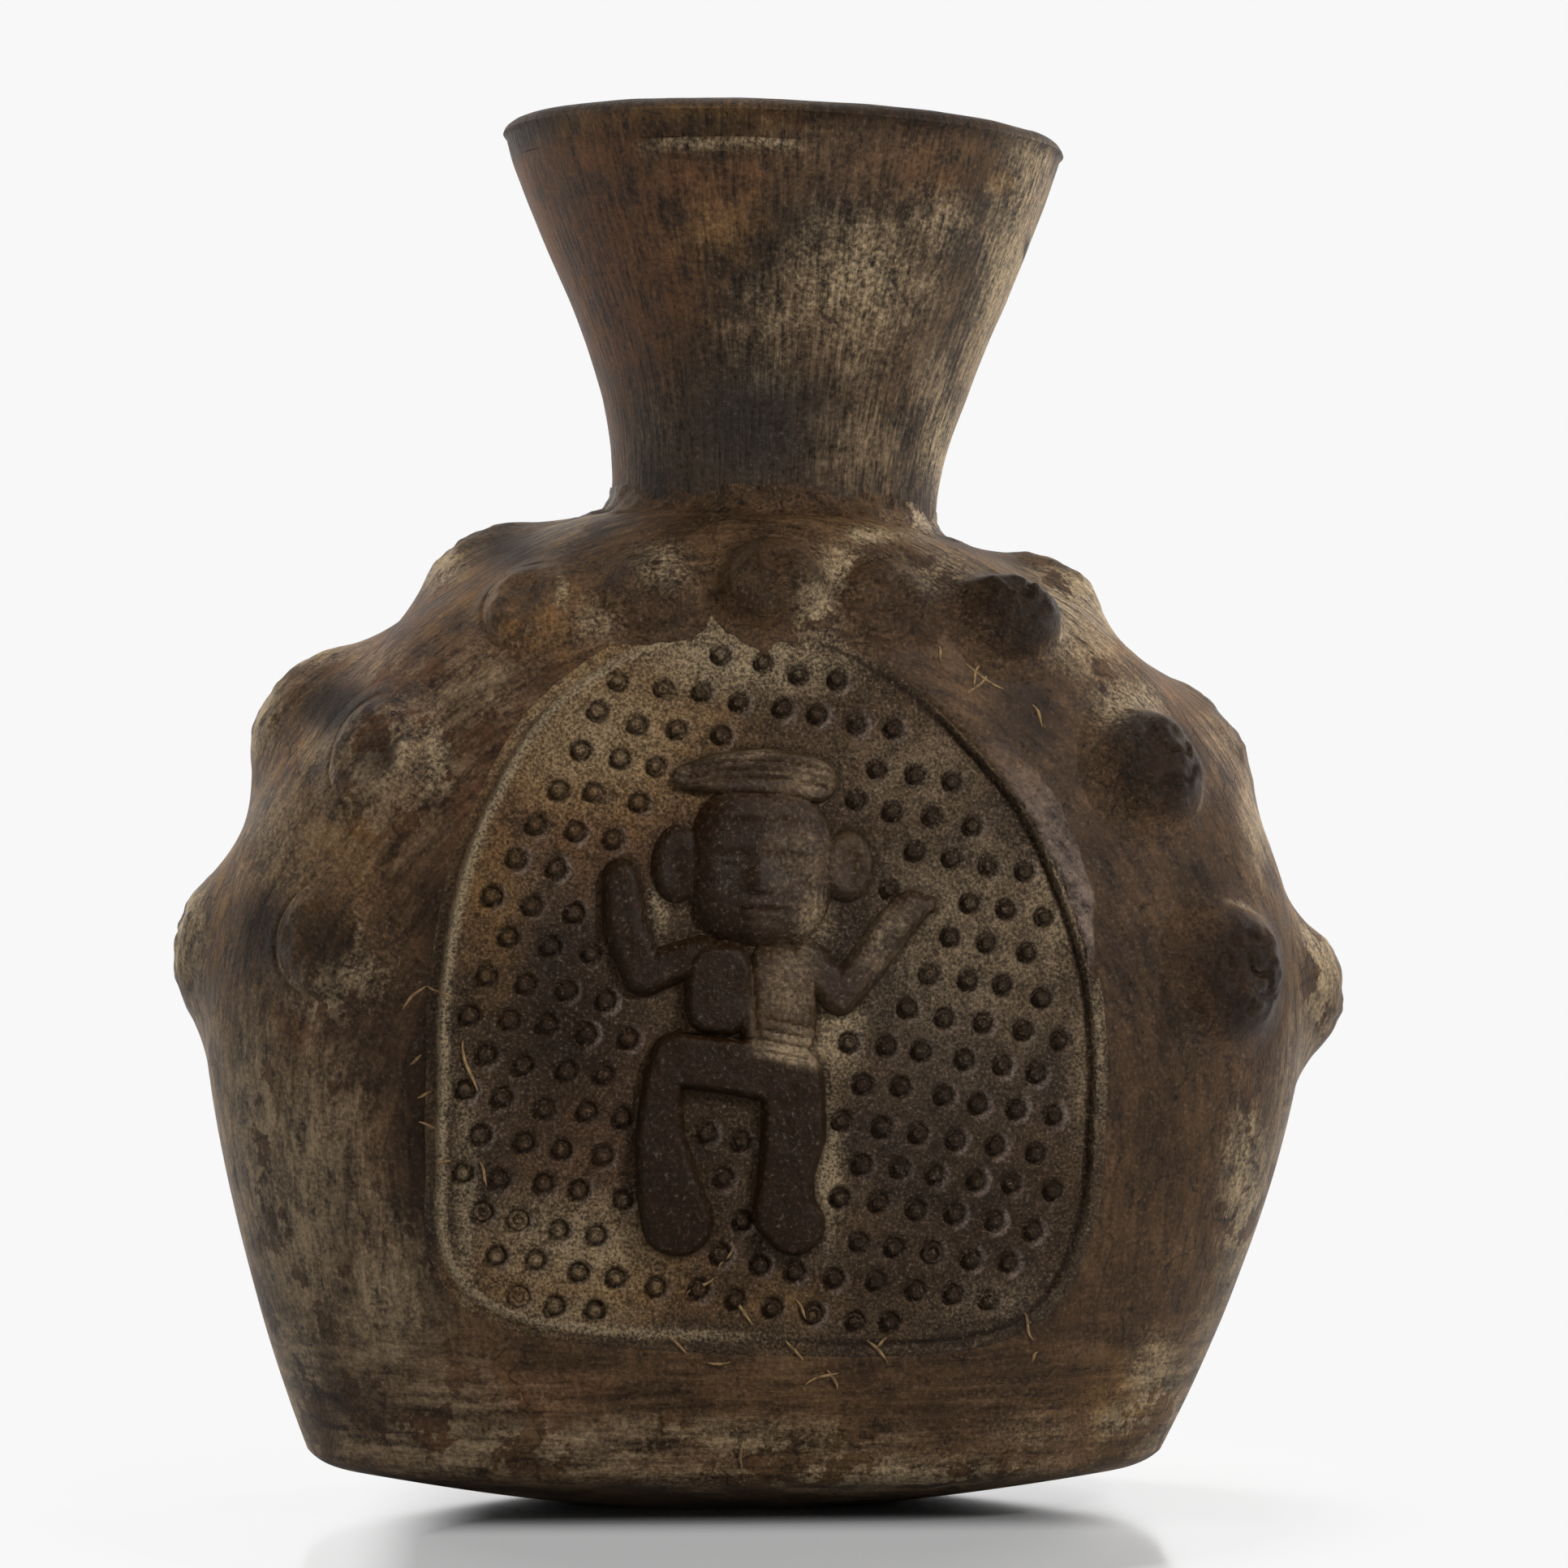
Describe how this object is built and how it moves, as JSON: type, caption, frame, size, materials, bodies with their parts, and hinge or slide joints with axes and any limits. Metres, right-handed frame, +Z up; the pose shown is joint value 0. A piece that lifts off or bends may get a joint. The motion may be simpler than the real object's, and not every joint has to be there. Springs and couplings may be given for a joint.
{
  "type": "bossed clay flask",
  "caption": "Flattened dark burnished clay flask with a flared neck, round bosses on the shoulder and a stippled arched relief panel with a standing figure.",
  "frame": {"origin": "middle of the flat patch that the flask stands on", "axes": "+Z up, front panel towards -Y, +X to the right as seen from the front"},
  "size_m": [0.2001, 0.1081, 0.2344],
  "materials": {
    "shell_clay": "burnished, smoke-fired, unevenly worn",
    "neck_clay": "burnished with upright strokes, worn tan in places",
    "boss_clay": "burnished, darkest of the pieces",
    "panel_clay": "pressed and left rough, pale dust in the hollows",
    "figure_clay": "pressed, worn smooth on the high parts",
    "inner_clay": "wiped, unburnished"
  },
  "bodies": {
    "root": {"base_dish": "shell_clay", "front_shell": "shell_clay", "rear_shell": "shell_clay", "seam_strip_left": "inner_clay", "seam_strip_right": "inner_clay", "neck": "neck_clay", "neck_fillet_coil": "neck_clay", "rim_coil": "neck_clay", "relief_panel": "panel_clay", "figure_sprig": "figure_clay", "front_boss_centre": "boss_clay", "front_boss_left_inner": "boss_clay", "front_boss_left_upper": "boss_clay", "front_boss_left_middle": "boss_clay", "front_boss_left_lower": "boss_clay", "front_boss_right_inner": "boss_clay", "front_boss_right_upper": "boss_clay", "front_boss_right_middle": "boss_clay", "front_boss_right_lower": "boss_clay", "edge_boss_left_upper": "boss_clay", "edge_boss_left_middle": "boss_clay", "edge_boss_left_lower": "boss_clay", "edge_boss_right_upper": "boss_clay", "edge_boss_right_middle": "boss_clay", "edge_boss_right_lower": "boss_clay", "rear_boss_centre": "boss_clay", "rear_boss_left_inner": "boss_clay", "rear_boss_left_upper": "boss_clay", "rear_boss_left_middle": "boss_clay", "rear_boss_left_lower": "boss_clay", "rear_boss_right_inner": "boss_clay", "rear_boss_right_upper": "boss_clay", "rear_boss_right_middle": "boss_clay", "rear_boss_right_lower": "boss_clay"}
  },
  "joints": []
}
